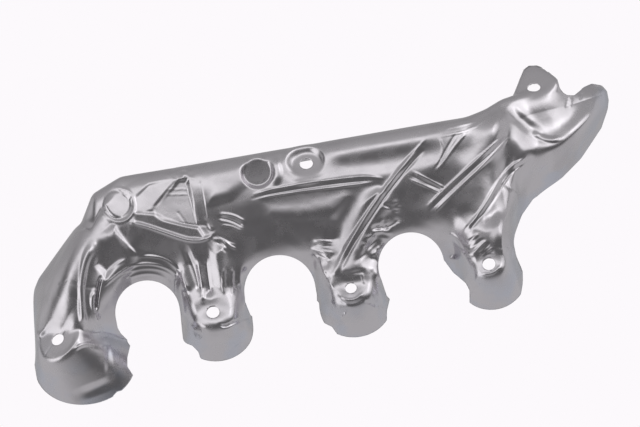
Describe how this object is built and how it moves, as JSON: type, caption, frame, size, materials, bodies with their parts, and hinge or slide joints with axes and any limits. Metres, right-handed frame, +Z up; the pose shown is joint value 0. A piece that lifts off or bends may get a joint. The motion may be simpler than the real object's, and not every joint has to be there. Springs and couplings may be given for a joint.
{
  "type": "exhaust heat shield",
  "caption": "Pressed sheet heat shield that covers an exhaust manifold, with bolt bosses on its legs, roof and outlet ear and arched gaps between the legs.",
  "frame": {"origin": "centre of the third leg's bolt hole, on the top plane of the leg bosses, midway between the second and fourth legs' holes", "axes": "+X along the row of legs towards the outlet, +Y from the legs towards the back wall, +Z up and out of the legs' bolt holes"},
  "size_m": [0.4929, 0.2263, 0.0797],
  "materials": {
    "shield_sheet": "aluminised steel sheet, satin to bright, with rubbed and smoky patches"
  },
  "bodies": {
    "root": {"heat_shield": "shield_sheet"}
  },
  "joints": []
}
